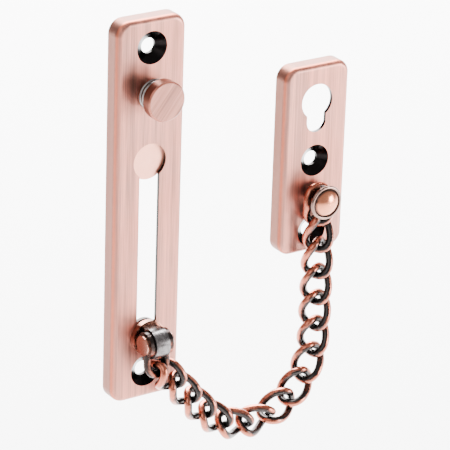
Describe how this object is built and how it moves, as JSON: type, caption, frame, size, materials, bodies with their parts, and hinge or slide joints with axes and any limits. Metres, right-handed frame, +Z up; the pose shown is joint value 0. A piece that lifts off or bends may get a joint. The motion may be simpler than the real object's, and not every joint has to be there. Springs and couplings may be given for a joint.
{
  "type": "door chain guard",
  "caption": "Door chain guard with a slotted guide plate, a keep plate, a sprung release button, a swivelling slider and a twisted link chain in an antique copper finish.",
  "frame": {"origin": "on the door's face, behind the middle of the guide plate", "axes": "+X from the guide plate to the keep plate, -Y out of the wall to the room, +Z up"},
  "size_m": [0.0851, 0.0168, 0.1458],
  "materials": {
    "copper_plate": "antique copper plating, brushed upright, clear lacquer",
    "bright_copper": "polished copper plating",
    "bronze": "dark antique copper plating, highlights relieved",
    "steel": "bright zinc plating"
  },
  "bodies": {
    "plates": {"guide_plate": "copper_plate", "keep_plate": "copper_plate", "chain_rivet": "bright_copper", "rivet_backing_washer": "steel", "button_spring": "steel"},
    "button": {"button_head": "copper_plate", "button_stem": "steel", "latch_plate": "bright_copper"},
    "carriage": {"slider_washer": "bronze", "slider_collar": "bright_copper"},
    "swivel": {"slider_tongue": "steel"},
    "shackle": {"shackle": "bronze", "shackle_pin": "bright_copper", "pin_washer": "steel"},
    "link_00": {"link_00": "bronze"},
    "link_01": {"link_01": "bronze"},
    "link_02": {"link_02": "bronze"},
    "link_03": {"link_03": "bronze"},
    "link_04": {"link_04": "bronze"},
    "link_05": {"link_05": "bronze"},
    "link_06": {"link_06": "bronze"},
    "link_07": {"link_07": "bronze"},
    "link_08": {"link_08": "bronze"},
    "link_09": {"link_09": "bronze"},
    "link_10": {"link_10": "bronze"},
    "link_11": {"link_11": "bronze"},
    "link_12": {"link_12": "bronze"},
    "link_13": {"link_13": "bronze"},
    "link_14": {"link_14": "bronze"}
  },
  "joints": [
    {"name": "button_press", "type": "slide", "parent": "plates", "child": "button", "axis": [0, 1, 0], "range_m": [0, 0.0023], "stiffness_N_per_m": 900, "deforming": ["button_spring"]},
    {"name": "slider_travel", "type": "slide", "parent": "plates", "child": "carriage", "axis": [0, 0, 1], "range_m": [0, 0.042]},
    {"name": "slider_swivel", "type": "hinge", "parent": "carriage", "child": "swivel", "pos_m": [0, -0.0115, -0.0413], "axis": [0, -1, 0], "range_deg": [-2, 2]},
    {"name": "shackle_swing", "type": "hinge", "parent": "swivel", "child": "shackle", "pos_m": [0, -0.0115, -0.0413], "axis": [1, 0, 0], "range_deg": [-2, 4]},
    {"name": "link_00_bend", "type": "hinge", "parent": "plates", "child": "link_00", "pos_m": [0.0611, -0.0095, -0.0062], "axis": [-0.045, 0.999, 0], "range_deg": [-18, 3]},
    {"name": "link_01_bend", "type": "hinge", "parent": "link_00", "child": "link_01", "pos_m": [0.0611, -0.0095, -0.0129], "axis": [-0.045, 0.999, 0], "range_deg": [-3, 20]},
    {"name": "link_02_bend", "type": "hinge", "parent": "link_01", "child": "link_02", "pos_m": [0.0611, -0.0095, -0.022], "axis": [-0.045, 0.999, 0], "range_deg": [-3, 17]},
    {"name": "link_03_bend", "type": "hinge", "parent": "link_02", "child": "link_03", "pos_m": [0.0611, -0.0095, -0.0311], "axis": [-0.045, 0.999, 0], "range_deg": [-3, 15]},
    {"name": "link_04_bend", "type": "hinge", "parent": "link_03", "child": "link_04", "pos_m": [0.0611, -0.0095, -0.0402], "axis": [-0.045, 0.999, 0], "range_deg": [-3, 14]},
    {"name": "link_05_bend", "type": "hinge", "parent": "link_04", "child": "link_05", "pos_m": [0.0611, -0.0095, -0.0493], "axis": [-0.045, 0.999, 0], "range_deg": [-3, 13]},
    {"name": "link_06_bend", "type": "hinge", "parent": "link_05", "child": "link_06", "pos_m": [0.06078, -0.00951, -0.05838], "axis": [-0.045, 0.999, 0], "range_deg": [-8, 3]},
    {"name": "link_07_bend", "type": "hinge", "parent": "link_06", "child": "link_07", "pos_m": [0.05766, -0.00965, -0.06687], "axis": [-0.045, 0.999, 0], "range_deg": [-8, 3]},
    {"name": "link_08_bend", "type": "hinge", "parent": "link_07", "child": "link_08", "pos_m": [0.05163, -0.00993, -0.0736], "axis": [-0.045, 0.999, 0], "range_deg": [-5, 3]},
    {"name": "link_14_bend", "type": "hinge", "parent": "shackle", "child": "link_14", "pos_m": [0, -0.01225, -0.04846], "axis": [-0.045, 0.999, 0], "range_deg": [-3, 48]},
    {"name": "link_13_bend", "type": "hinge", "parent": "link_14", "child": "link_13", "pos_m": [0.00694, -0.01194, -0.0564], "axis": [-0.045, 0.999, 0], "range_deg": [-5, 3]},
    {"name": "link_12_bend", "type": "hinge", "parent": "link_13", "child": "link_12", "pos_m": [0.01292, -0.01167, -0.06325], "axis": [-0.045, 0.999, 0], "range_deg": [-11, 3]},
    {"name": "link_11_bend", "type": "hinge", "parent": "link_12", "child": "link_11", "pos_m": [0.01891, -0.0114, -0.0701], "axis": [-0.045, 0.999, 0], "range_deg": [-6, 3]},
    {"name": "link_10_bend", "type": "hinge", "parent": "link_11", "child": "link_10", "pos_m": [0.02597, -0.01108, -0.07574], "axis": [-0.045, 0.999, 0], "range_deg": [-3, 8]},
    {"name": "link_09_bend", "type": "hinge", "parent": "link_10", "child": "link_09", "pos_m": [0.03462, -0.01069, -0.07836], "axis": [-0.045, 0.999, 0], "range_deg": [-3, 5]}
  ],
  "couplings": [
    {"joint": "slider_swivel", "follows": "slider_travel", "rad_per_m": 0.6233},
    {"joint": "link_00_bend", "follows": "slider_travel", "rad_per_m": -5.8178},
    {"joint": "link_01_bend", "follows": "slider_travel", "rad_per_m": 6.9594},
    {"joint": "link_02_bend", "follows": "slider_travel", "rad_per_m": 5.7724},
    {"joint": "link_03_bend", "follows": "slider_travel", "rad_per_m": 4.7247},
    {"joint": "link_04_bend", "follows": "slider_travel", "rad_per_m": 4.2172},
    {"joint": "link_05_bend", "follows": "slider_travel", "rad_per_m": 3.7628},
    {"joint": "link_06_bend", "follows": "slider_travel", "rad_per_m": -1.7603},
    {"joint": "link_07_bend", "follows": "slider_travel", "rad_per_m": -1.7363},
    {"joint": "link_08_bend", "follows": "slider_travel", "rad_per_m": -0.5483},
    {"joint": "link_14_bend", "follows": "slider_travel", "rad_per_m": 18.373},
    {"joint": "link_13_bend", "follows": "slider_travel", "rad_per_m": -0.6813},
    {"joint": "link_12_bend", "follows": "slider_travel", "rad_per_m": -2.9185},
    {"joint": "link_11_bend", "follows": "slider_travel", "rad_per_m": -0.8818},
    {"joint": "link_10_bend", "follows": "slider_travel", "rad_per_m": 1.8694},
    {"joint": "link_09_bend", "follows": "slider_travel", "rad_per_m": 0.4862},
    {"joint": "shackle_swing", "follows": "slider_travel", "rad_per_m": 0.3324}
  ]
}
